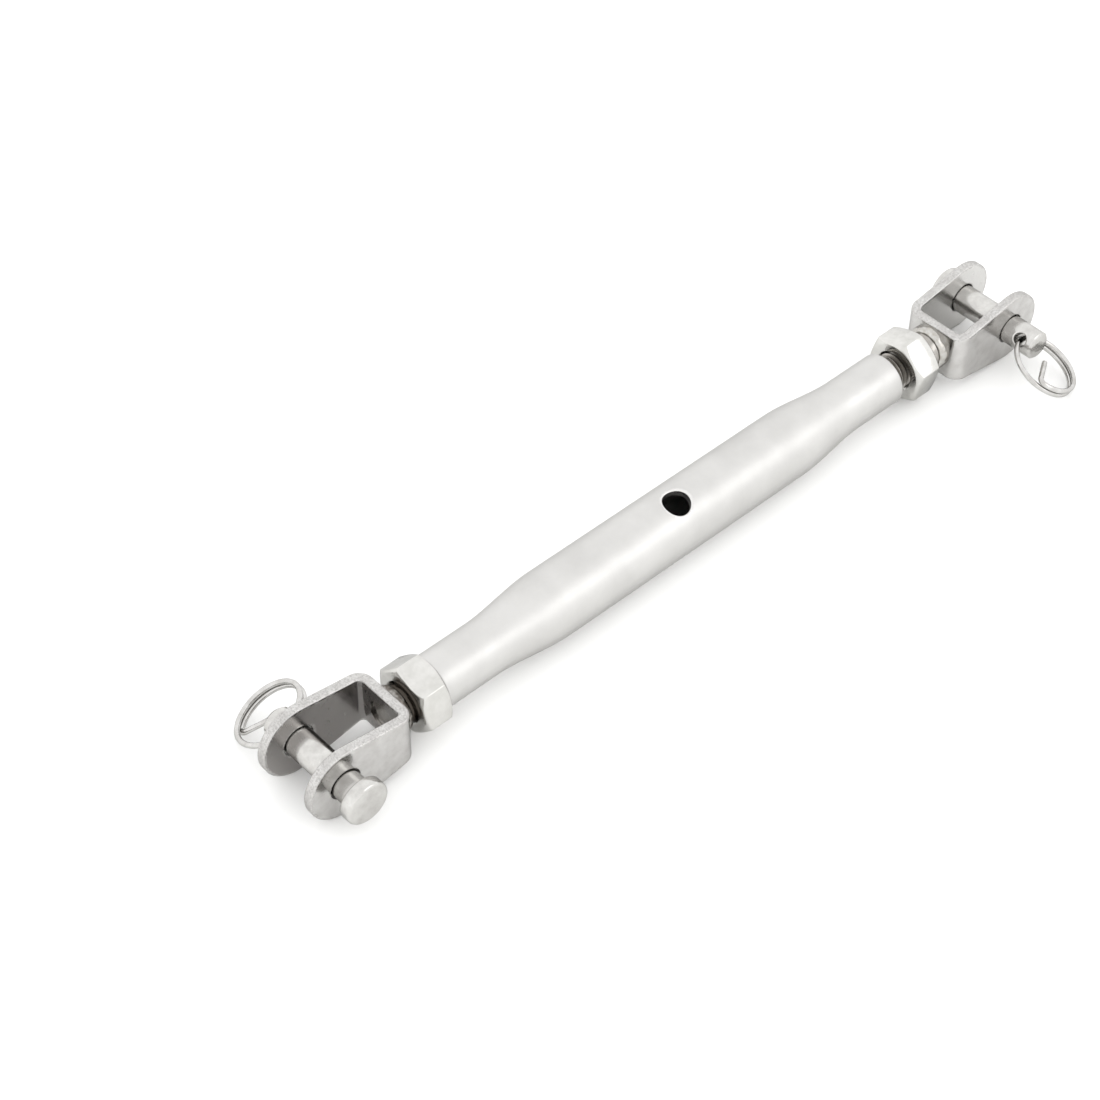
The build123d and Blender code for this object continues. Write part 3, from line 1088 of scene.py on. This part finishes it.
@dataclass
class JawStrap:
    """Flat strip with two round ears, bent to a U.

    The strip is drawn flat first, with s along its middle line from the centre of its
    base and z across it, and is then folded round its two bends.
    """

    frame: EndFrame
    base: float = -16.2
    gap: float = 11.0
    thickness: float = 2.0
    bend: float = 1.0             # inside radius
    ear_radius: float = 7.79
    ear_hole: float = 3.25
    base_half: float = 5.25
    base_hole: float = 3.2
    edge: float = 0.35
    hole_edge: float = 0.18
    cut: float = -10.2            # X where the ear's round mesh meets the strip's
    across: int = 24              # steps across the strip
    hole_margin: float = 0.8      # plain strip remeshed round the base's hole

    def __post_init__(self) -> None:
        """Works out the folded strip's stations and its tapering sides."""
        self.middle_bend = self.bend + self.thickness / 2
        self.flat_half = self.gap / 2 - self.bend
        self.fold_end = self.flat_half + self.middle_bend * math.pi / 2
        self.centre_x = self.base + self.thickness + self.bend
        reach = math.hypot(self.base, self.base_half)
        self.slope = math.asin(self.ear_radius / reach) - math.atan2(self.base_half, -self.base)
        self.tangent = Vector((-math.sin(self.slope), math.cos(self.slope))) * self.ear_radius

    def station(self, x: float) -> float:
        """Distance along the flat strip of a place X on an ear."""
        return self.fold_end + x - self.centre_x

    def middle_x(self, s: float) -> float:
        """X of the strip's middle surface at distance s along it.

        Args:
            s: distance along the flat strip.

        Returns:
            The place along X, from the pin.
        """
        run = abs(s)
        if run <= self.flat_half:
            return self.base + self.thickness / 2
        if run < self.fold_end:
            turn = (run - self.flat_half) / self.middle_bend
            return self.centre_x - self.middle_bend * math.cos(turn)
        return self.centre_x + run - self.fold_end

    def half_width(self, s: float) -> float:
        """Half the strip's width at s, between the base and the ear's round end."""
        return self.base_half + math.tan(self.slope) * (self.middle_x(s) - self.base)

    def fold(self, s: float, z: float, rise: float) -> Vector:
        """Folds a point of the flat strip to its place on the jaw.

        Args:
            s: distance along the flat strip.
            z: distance across it.
            rise: height above the strip's middle surface, outwards.

        Returns:
            The point in the shared frame.
        """
        side = 1 if s >= 0 else -1
        run = abs(s)
        if run <= self.flat_half:
            return self.frame(self.base + self.thickness / 2 - rise, s, z)
        if run < self.fold_end:
            turn = (run - self.flat_half) / self.middle_bend
            radius = self.middle_bend + rise
            return self.frame(self.centre_x - radius * math.cos(turn),
                              side * (self.flat_half + radius * math.sin(turn)), z)
        return self.frame(self.centre_x + run - self.fold_end,
                          side * (self.flat_half + self.middle_bend + rise), z)

    def ear_side(self) -> list[tuple[Vector, Vector]]:
        """Upper half of an ear's edge, from the cut to the tip of the ear.

        Returns:
            (point, outward direction) pairs in X and Z.
        """
        pairs = []
        start = Vector((self.cut, self.half_width(self.station(self.cut))))
        for i in range(10):
            share = i / 10
            lean = self.slope * smooth_step(share)
            outward = Vector((-math.sin(lean), math.cos(lean)))
            pairs.append((start.lerp(self.tangent, share), outward))
        first = math.pi / 2 + self.slope
        for i in range(37):
            angle = first * (1 - i / 36)
            heading = Vector((math.cos(angle), math.sin(angle)))
            pairs.append((heading * self.ear_radius, heading))
        return pairs

    def outline(self) -> list[tuple[float, float, float, float]]:
        """The flat strip's whole edge.

        Returns:
            (s, z, outward s, outward z) round the strip.
        """
        stations = self.strip_stations()
        upper = self.ear_side()
        loop = [(s, self.half_width(s), 0.0, 1.0) for s in stations]
        loop += [(self.station(p.x), p.y, n.x, n.y) for p, n in upper[1:]]
        loop += [(self.station(p.x), -p.y, n.x, -n.y) for p, n in reversed(upper[1:-1])]
        loop += [(s, -self.half_width(s), 0.0, -1.0) for s in reversed(stations)]
        loop += [(-self.station(p.x), -p.y, -n.x, -n.y) for p, n in upper[1:]]
        loop += [(-self.station(p.x), p.y, -n.x, n.y) for p, n in reversed(upper[1:-1])]
        return loop

    def strip_stations(self) -> list[float]:
        """Stations along the strip between its ears, close together in the bends."""
        reach = self.base_hole + self.hole_margin
        outside = [reach, self.flat_half]
        fold = self.fold_end - self.flat_half
        arm = self.station(self.cut) - self.fold_end
        outside += [self.flat_half + fold * i / 10 for i in range(1, 11)]
        outside += [self.fold_end + arm * i / 3 for i in range(1, 4)]
        inside = [reach * (i / 8 - 1) for i in range(1, 16)]
        return [-s for s in reversed(outside)] + inside + outside

    def face_rows(self, shell: Shell, rise: float) -> None:
        """Adds one face of the strip: its middle with the base's hole, and its two ears.

        Args:
            shell: the piece that it belongs to.
            rise: height of the face from the strip's middle surface.
        """
        zone = 0.0 if rise > 0 else -1.0
        stations = self.strip_stations()
        levels = [2 * j / self.across - 1 for j in range(self.across + 1)]

        def height(s: float, level: float) -> float:
            """Distance across the strip of a level from -1 to 1."""
            return level * (self.half_width(s) - self.edge)

        reach = self.base_hole + self.hole_margin
        near = [s for s in stations if abs(s) <= reach + 1e-6]
        skip = 3
        for bands, columns in ((stations[:stations.index(near[0]) + 1], levels),
                               (stations[stations.index(near[-1]):], levels),
                               (near, levels[:skip + 1]), (near, levels[-skip - 1:])):
            shell.add_rows([[self.fold(s, height(s, v), rise) for v in columns] for s in bands],
                           mark=zone)
        loop = rectangle_loop(near, levels[skip:-skip])
        rows = []
        for i in range(7):
            row = []
            for s, level in loop:
                z = height(s, level)
                heading = math.atan2(z, s)
                share = i / 6
                row.append(self.fold(s + (self.base_hole * math.cos(heading) - s) * share,
                                     z + (self.base_hole * math.sin(heading) - z) * share, rise))
            rows.append(row)
        shell.add_rows(rows, closed=True, mark=zone)
        self.base_rings.append(rows[-1])

        ear = [(self.cut, height(self.station(self.cut), v)) for v in levels]
        upper = [(p.x - n.x * self.edge, p.y - n.y * self.edge) for p, n in self.ear_side()]
        ear += upper[1:] + [(x, -z) for x, z in reversed(upper[1:-1])]
        for side in (1, -1):
            rows = []
            for i in range(13):
                row = []
                for x, z in ear:
                    heading = math.atan2(z, x)
                    hole = self.ear_hole + self.hole_edge
                    share = i / 12
                    px = x + (hole * math.cos(heading) - x) * share
                    pz = z + (hole * math.sin(heading) - z) * share
                    row.append(self.fold(side * self.station(px), pz, rise))
                rows.append(row)
            shell.add_rows(rows, closed=True, mark=zone)
        self.ear_headings = [math.atan2(z, x) for x, z in ear]

    def build(self) -> bpy.types.Object:
        """Makes the strap.

        Returns:
            The strap's object.
        """
        shell = Shell(self.frame.end.node("jaw_strap_tumbled"))
        half = self.thickness / 2
        self.base_rings: list[Row] = []
        for rise in (half, -half):
            self.face_rows(shell, rise)
        shell.add_rows(self.base_rings, closed=True)

        curve = quarter_turn(4)
        rolled = [(self.edge * inset, half - self.edge * drop) for inset, drop in curve]
        rolled += [(inset, -rise) for inset, rise in reversed(rolled)]
        outline = self.outline()
        shell.add_rows([[self.fold(s - ns * inset, z - nz * inset, rise)
                         for s, z, ns, nz in outline] for inset, rise in rolled],
                       closed=True, mark=1.0)

        eased = [(self.hole_edge * inset, half - self.hole_edge * drop) for inset, drop in curve]
        eased += [(inset, -rise) for inset, rise in reversed(eased)]
        for side in (1, -1):
            rows = []
            for inset, rise in eased:
                radius = self.ear_hole + inset
                rows.append([self.fold(side * self.station(radius * math.cos(a)),
                                       radius * math.sin(a), rise) for a in self.ear_headings])
            shell.add_rows(rows, closed=True, mark=0.6)
        return shell.to_object()

    def dress(self) -> None:
        """Builds the strap and puts it on its jaw."""
        end = self.frame.end
        fit_piece(self.build(), TUMBLED_STRAP[end], end.node("jaw"), end.node("jaw_strap"))


@dataclass
class WeldBead:
    """Ring of weld round the stud where it meets the jaw's base."""

    frame: EndFrame
    base: float = -16.2
    radius: float = 4.85
    height: float = 1.9
    shank: float = 4.0
    sink: float = 0.1             # how far the ring's back is buried in the shank
    ripples: float = 13.0
    ripple_depth: float = 0.07
    ripple_lead: float = 5.0      # radians that a ripple's edges are turned from its middle
    segments: int = 176

    @staticmethod
    def tree() -> Tree:
        """Builds the tree that presses a welder's overlapping ripples into a ring.

        Each ripple is an arc across the bead, so its turn is led by the square of the
        distance from the bead's middle.

        Returns:
            The geometry tree.
        """
        names = ["Middle", "Width", "Inner", "Ripples", "Depth", "Lead"]
        tree, known = geometry_tree("weld_ripples", names)
        spot = add_node(tree, "GeometryNodeInputPosition").outputs[0]
        part = add_node(tree, "ShaderNodeSeparateXYZ", {0: spot}).outputs
        flat = add_node(tree, "ShaderNodeVectorMath",
                        {"operation": "MULTIPLY", 0: spot, 1: (0, 1, 1)}).outputs[0]
        radius = add_node(tree, "ShaderNodeVectorMath", {"operation": "LENGTH", 0: flat})
        known |= {"x": part["X"], "y": part["Y"], "z": part["Z"], "radius": radius.outputs["Value"]}
        work_out_all(tree, known, {
            "angle": ("ARCTAN2", "z", "y"),
            "offset": ("DIVIDE", ("SUBTRACT", "x", "Middle"), "Width"),
            "lead": ("MULTIPLY", ("MULTIPLY", "offset", "offset"), "Lead"),
            "wave": ("SINE", ("ADD", ("MULTIPLY", "angle", "Ripples"), "lead")),
            "dip": ("POWER", ("MULTIPLY_ADD", "wave", -0.5, 0.5), 2.0),
            "proud": ("MAXIMUM", ("SUBTRACT", "radius", "Inner"), 0.0),
            "held": ("MINIMUM", ("DIVIDE", "proud", ("MULTIPLY", "Depth", 3.0)), 1.0),
            "press": ("MULTIPLY", ("MULTIPLY", ("MULTIPLY", "dip", "Depth"), "held"), -1.0)})
        outward = add_node(tree, "ShaderNodeVectorMath",
                           {"operation": "NORMALIZE", 0: flat}).outputs[0]
        shift = add_node(tree, "ShaderNodeVectorMath",
                         {"operation": "SCALE", 0: outward, "Scale": known["press"]}).outputs[0]
        moved = add_node(tree, "GeometryNodeSetPosition",
                         {"Geometry": known["Geometry"], "Offset": shift}).outputs[0]
        close_tree(tree, known["Material"], moved)
        return tree

    def dress(self, tree: Tree) -> None:
        """Builds the bead and puts it on its jaw.

        Args:
            tree: the ripples' geometry tree.
        """
        end = self.frame.end
        back = self.shank - self.sink
        angles = [math.pi / 2 * i / 14 for i in range(15)]
        profile = [(self.base, back)]
        profile += [(self.base - self.height * math.sin(a),
                     back + (self.radius - back) * math.cos(a) ** 0.8) for a in angles]
        shell = Shell(end.node("weld_start"))
        rows = [[Vector((self.frame(x, 0, 0).x, r * math.sin(a), r * math.cos(a)))
                 for a in even_angles(self.segments)] for x, r in profile]
        shell.add_rows(rows + [rows[0]], closed=True)
        start = shell.to_object()
        source = start.data
        bpy.data.objects.remove(start)
        finish = WELD_METAL[end]
        material = finish.material()
        middle = self.frame(self.base - self.height / 2, 0, 0).x
        values = {"Middle": middle * MM, "Width": self.height * MM, "Inner": self.shank * MM,
                  "Ripples": self.ripples, "Depth": self.ripple_depth * MM,
                  "Lead": self.ripple_lead, "Material": material}
        piece = grow(end.node("weld_bead_rippled"), tree, values, source)
        finish_mesh(piece.data, sharp=60.0)
        fit_piece(piece, finish, end.node("jaw"), end.node("weld_bead"), material)


# ---------------------------------------------------------------- pins and rings


@dataclass
class ClevisPin:
    """Headed pin with a cross hole for its ring."""

    frame: EndFrame
    radius: float = 3.0
    length: float = 23.3
    chamfer: float = 0.45
    head_radius: float = 4.5
    head: float = 2.5
    head_edge: float = 0.7
    head_under: float = 0.23
    neck: float = 0.15            # chamfered fillet between shaft and head
    hole_from_end: float = 3.1
    hole_tilt: float = 62.0
    hole: CrossHole = CrossHole(radius=1.4, edge=0.35, reach=2.15, segments=96, stations=32)

    def __post_init__(self) -> None:
        """Finds the cross hole's distance from the jaw's middle, from the pin's CAD node."""
        low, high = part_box(self.frame.end.node("clevis_pin"))
        top = high.y if self.frame.end is End.LEFT_HAND else -low.y
        self.hole_y = top / MM - self.head - self.length + self.hole_from_end

    def place(self, along: float, across: float, through: float) -> Vector:
        """Place of a point from its distances along the pin, across and along its hole.

        Args:
            along: distance from the hole's centre towards the head.
            across: distance square to the pin and its hole.
            through: distance along the hole.

        Returns:
            The point in the shared frame.
        """
        turn = math.radians(self.hole_tilt)
        x = across * math.cos(turn) - through * math.sin(turn)
        z = across * math.sin(turn) + through * math.cos(turn)
        return self.frame(x, self.hole_y + along, z)

    def build(self) -> bpy.types.Object:
        """Makes the pin.

        Returns:
            The pin's object.
        """
        shell = Shell(self.frame.end.node("clevis_pin_turned"))
        spread = self.hole.spread(self.radius)
        mouths = self.hole.cut(shell, self.radius, spread, self.place, self.hole.edge)
        shell.add_rows([mouths[0], mouths[1]], closed=True)

        under = self.length - self.hole_from_end
        top = under + self.head
        far = -self.hole_from_end
        shaft = [(self.hole.reach, self.radius), (under - self.neck, self.radius),
                 (under, self.radius + self.neck)]
        shaft += [(under, self.head_radius - self.head_under),
                  (under + self.head_under * 0.3, self.head_radius - self.head_under * 0.3),
                  (under + self.head_under, self.head_radius)]
        shaft += [(top - self.head_edge * inset, self.head_radius - self.head_edge * drop)
                  for inset, drop in quarter_turn(8)]
        shaft += [(top, 2.4), (top, 1.0), (top, 0.0)]
        tail = [(-self.hole.reach, self.radius), (far + self.chamfer, self.radius)]
        tail += [(far + self.chamfer * 0.15, self.radius - self.chamfer * 0.85),
                 (far, self.radius - self.chamfer * 1.15), (far, 1.2), (far, 0.0)]
        angles = even_angles(self.hole.segments)
        for profile in (shaft, tail):
            shell.add_rows(lathe_rows(profile, angles, self.place), closed=True)
        return shell.to_object(sharp=38.0)

    def dress(self) -> None:
        """Builds the pin and puts it on its body."""
        end = self.frame.end
        finish = turned_pin_finish(self.frame.pin_x)
        fit_piece(self.build(), finish, end.node("pin"), end.node("clevis_pin"))


@dataclass
class CotterRing:
    """Split ring of spring wire, one and a half turns, with one end bent in as a tail.

    Angles round the ring are in degrees from its point furthest from the pin.
    """

    pin: ClevisPin
    lean: float                   # degrees that the ring leans to one side of the pin
    facing: int                   # +1 or -1, which way round it is threaded
    wire: float = 0.547
    radius: float = 7.0
    layer: float = 1.18
    tilt: float = 67.0
    chord: float = 0.32           # half the bow of the wire where it crosses the pin
    lap_start: float = 50.0
    lap_end: float = -500.0
    lap_ease: float = 20.0
    tail_bend: float = 1.1
    tail_tip: float = 0.5
    tail_angle: float = 165.0
    steps: int = 240
    end_rounding: float = 0.26

    @staticmethod
    def tree() -> Tree:
        """Builds the tree that draws round wire along a path, with rounded ends.

        Returns:
            The geometry tree.
        """
        tree, known = geometry_tree("ring_wire", ["Wire Radius", "Facets", "End Rounding"])
        path = add_node(tree, "GeometryNodeMeshToCurve", {"Mesh": known["Geometry"]}).outputs[0]
        known |= {"along": add_node(tree, "GeometryNodeSplineParameter").outputs["Length"],
                  "whole": add_node(tree, "GeometryNodeSplineLength").outputs["Length"]}
        work_out_all(tree, known, {
            "from end": ("MINIMUM", "along", ("SUBTRACT", "whole", "along")),
            "share": ("SUBTRACT", 1.0, ("MINIMUM", ("DIVIDE", "from end", "End Rounding"), 1.0)),
            "thinning": ("MULTIPLY", ("MULTIPLY", "share", "share"), 0.75),
            "swell": ("SQRT", ("SUBTRACT", 1.0, "thinning"))})
        sized = add_node(tree, "GeometryNodeSetCurveRadius",
                         {"Curve": path, "Radius": known["swell"]}).outputs[0]
        section = add_node(tree, "GeometryNodeCurvePrimitiveCircle", {
            "Resolution": known["Facets"], "Radius": known["Wire Radius"]}).outputs[0]
        tube = add_node(tree, "GeometryNodeCurveToMesh",
                        {"Fill Caps": True, "Curve": sized, "Profile Curve": section})
        if "Scale" in tube.inputs:
            tree.links.new(known["swell"], tube.inputs["Scale"])
        close_tree(tree, known["Material"], tube.outputs[0])
        return tree

    def layer_offset(self, angle: float) -> float:
        """Sideways shift of the wire at an angle round the ring, zero in the pin's hole.

        Args:
            angle: degrees round the ring.

        Returns:
            The shift along the ring's axis.
        """
        start = self.lap_end + 360
        finish = self.lap_start - 360 + self.lap_ease
        eased = smooth_step((start - angle) / (start - finish))
        held = smooth_step((start + 180) / (start - finish))
        return self.layer * (eased - held)

    def tail(self) -> list[Vector]:
        """The tail and its bend in the ring's plane, up to the start of the first turn.

        Returns:
            Points from the tip.
        """
        start = math.radians(self.lap_start)
        tip_angle = math.radians(self.tail_angle)
        inner = self.radius - self.tail_bend
        tip = Vector((math.cos(tip_angle), math.sin(tip_angle))) * self.tail_tip
        bend = Vector((math.cos(start), math.sin(start))) * inner
        gap = bend - tip
        turn = math.asin(self.tail_bend / gap.length)
        straight = math.sqrt(gap.length ** 2 - self.tail_bend ** 2)
        heading = Vector((gap.x * math.cos(turn) - gap.y * math.sin(turn),
                          gap.x * math.sin(turn) + gap.y * math.cos(turn))).normalized()
        knee = tip + heading * straight
        knee_angle = math.atan2(knee.y - bend.y, knee.x - bend.x)
        if knee_angle < start:
            knee_angle += 2 * math.pi
        points = [tip + heading * reach for reach in (0.0, 0.06, 0.14, 0.26)]
        points += [tip.lerp(knee, i / 8) for i in range(1, 8)]
        for i in range(12):
            angle = knee_angle + (start - knee_angle) * i / 12
            points.append(bend + Vector((math.cos(angle), math.sin(angle))) * self.tail_bend)
        return points

    def path(self) -> list[Vector]:
        """Middle line of the wire in the shared frame.

        Returns:
            Points from the tail's tip to the other end.
        """
        tilt = math.radians(self.tilt)
        lean = math.radians(self.lean)
        pin_end = Vector((0, -1, 0))
        along = Vector((-math.sin(tilt), 0, math.cos(tilt)))
        out = pin_end * math.cos(lean) + along.cross(pin_end) * math.sin(lean)
        centre = Vector((0, self.pin.hole_y, 0)) + out * (self.radius - self.chord)
        along *= self.facing
        normal = out.cross(along)
        shift = normal * self.layer_offset(self.lap_start)
        points = [centre + out * p.x + along * p.y + shift for p in self.tail()]
        lap = self.lap_end - self.lap_start
        angles = [self.lap_start + lap * i / self.steps for i in range(self.steps + 1)]
        last = angles.pop()
        angles += [last + 2.2, last + 1.2, last + 0.5, last]
        for angle in angles:
            turn = math.radians(angle)
            flat = out * (self.radius * math.cos(turn)) + along * (self.radius * math.sin(turn))
            points.append(centre + flat + normal * self.layer_offset(angle))
        return [self.pin.frame(*p) for p in points]

    def dress(self, tree: Tree) -> None:
        """Builds the ring and puts it on its body.

        Args:
            tree: the wire's geometry tree.
        """
        end = self.pin.frame.end
        points = self.path()
        line = bpy.data.meshes.new(end.node("ring_line"))
        line.from_pydata([p * MM for p in points], [(i, i + 1) for i in range(len(points) - 1)], [])
        material = DRAWN_WIRE.material()
        values = {"Wire Radius": self.wire * MM, "Facets": 20.0,
                  "End Rounding": self.end_rounding * MM, "Material": material}
        piece = grow(end.node("cotter_ring_drawn"), tree, values, line)
        finish_mesh(piece.data, sharp=50.0)
        fit_piece(piece, DRAWN_WIRE, end.node("ring"), end.node("cotter_ring"), material)


# ---------------------------------------------------------------- the studio


@dataclass(frozen=True)
class SoftLight:
    """A large flat softbox aimed at a point, in metres."""

    name: str
    place: tuple[float, float, float]
    aim: tuple[float, float, float]
    size: tuple[float, float]
    power: float

    def build(self) -> None:
        """Adds the light to the scene."""
        lamp = bpy.data.lights.new(self.name, "AREA")
        lamp.shape = "RECTANGLE"
        lamp.size, lamp.size_y = self.size
        lamp.energy = self.power
        holder = bpy.data.objects.new(self.name, lamp)
        holder.location = self.place
        direction = Vector(self.aim) - Vector(self.place)
        holder.rotation_euler = direction.to_track_quat("-Z", "Y").to_euler()
        bpy.context.scene.collection.objects.link(holder)


@dataclass
class Studio:
    """White paper floor, a pale room and a softbox."""

    floor_size: float = 4.0
    paper: str = "#FBFBFA"
    sky_low: float = 1.5
    sky_high: float = 1.4
    lights: tuple[SoftLight, ...] = (
        SoftLight("front_softbox", (0.50, -0.78, 0.66), (0, 0, 0), (0.9, 0.5), 1.4),
    )

    def build_floor(self, level: float) -> None:
        """Lays the paper at the object's lowest point.

        Args:
            level: height of the floor in metres.
        """
        half = self.floor_size / 2
        mesh = bpy.data.meshes.new("paper_floor")
        corners = [(x * half, y * half, level) for x, y in ((-1, -1), (1, -1), (1, 1), (-1, 1))]
        mesh.from_pydata(corners, [], [(0, 1, 2, 3)])
        floor = bpy.data.objects.new("paper_floor", mesh)
        bpy.context.scene.collection.objects.link(floor)
        material = bpy.data.materials.new("matt_white_paper")
        material.use_nodes = True
        tree = material.node_tree
        tree.nodes.clear()
        shader = add_node(tree, "ShaderNodeBsdfPrincipled", {
            "Base Color": linear_colour(self.paper), "Roughness": 0.9, "Specular IOR Level": 0.1})
        add_node(tree, "ShaderNodeOutputMaterial", {0: shader.outputs[0]})
        mesh.materials.append(material)
        floor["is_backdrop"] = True

    def build_room(self) -> None:
        """Makes the room's light, nearly even and a little brighter at the horizon."""
        world = bpy.data.worlds.new("pale_room")
        bpy.context.scene.world = world
        world.use_nodes = True
        tree = world.node_tree
        tree.nodes.clear()
        heading = add_node(tree, "ShaderNodeTexCoord").outputs["Generated"]
        up = add_node(tree, "ShaderNodeSeparateXYZ", {0: heading}).outputs["Z"]
        level = add_node(tree, "ShaderNodeMapRange", {
            "interpolation_type": "SMOOTHSTEP", "From Min": 0.0, "From Max": 0.9,
            "To Min": self.sky_low, "To Max": self.sky_high, "Value": up}).outputs[0]
        sky = add_node(tree, "ShaderNodeBackground",
                       {"Color": (1.0, 1.0, 1.0, 1.0), "Strength": level}).outputs[0]
        add_node(tree, "ShaderNodeOutputWorld", {0: sky})

    def build(self, level: float) -> None:
        """Makes the floor, the room and the lights.

        Args:
            level: height of the floor in metres.
        """
        self.build_floor(level)
        self.build_room()
        for light in self.lights:
            light.build()
        bpy.context.scene.view_settings.view_transform = "Standard"
        log.info("studio: floor at %.4f m, %d softboxes", level, len(self.lights))


@dataclass(frozen=True)
class ProductCamera:
    """Camera above the near end of the screws, looking down along them."""

    place_mm: tuple[float, float, float] = (-241.05, -229.31, 342.75)
    turn_degrees: tuple[float, float, float] = (43.4346, -0.0953, -42.4120)
    lens: float = 82.10

    def build(self) -> None:
        """Adds the camera and makes it the scene's."""
        lens = bpy.data.cameras.new("product_camera")
        lens.lens = self.lens
        lens.sensor_width = 36.0
        lens.clip_start = 0.01
        camera = bpy.data.objects.new("product_camera", lens)
        camera.location = Vector(self.place_mm) * MM
        camera.rotation_euler = Euler([math.radians(a) for a in self.turn_degrees])
        bpy.context.scene.collection.objects.link(camera)
        bpy.context.scene.camera = camera


def main() -> None:
    """Builds the turnbuckle's pieces in order, then the studio and the camera."""
    logging.basicConfig(level=logging.INFO, format="%(name)s: %(message)s")
    cad_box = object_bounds()
    thread = ThreadedStud.tree()
    ripples = WeldBead.tree()
    wire = CotterRing.tree()

    BodyTube().dress()
    rolls = {End.RIGHT_HAND: 16.5, End.LEFT_HAND: -17.3}
    leans = {End.RIGHT_HAND: -25.0, End.LEFT_HAND: -21.5}
    facings = {End.RIGHT_HAND: -1, End.LEFT_HAND: 1}
    for end in End:
        axes = EndFrame.of(end)
        LockNut(end, rolls[end]).dress()
        ThreadedStud(axes).dress(thread)
        JawStrap(axes).dress()
        WeldBead(axes).dress(ripples)
        pin = ClevisPin(axes)
        pin.dress()
        CotterRing(pin, leans[end], facings[end]).dress(wire)

    Studio().build(cad_box[0][2])
    ProductCamera().build()


if __name__ == "__main__":
    main()
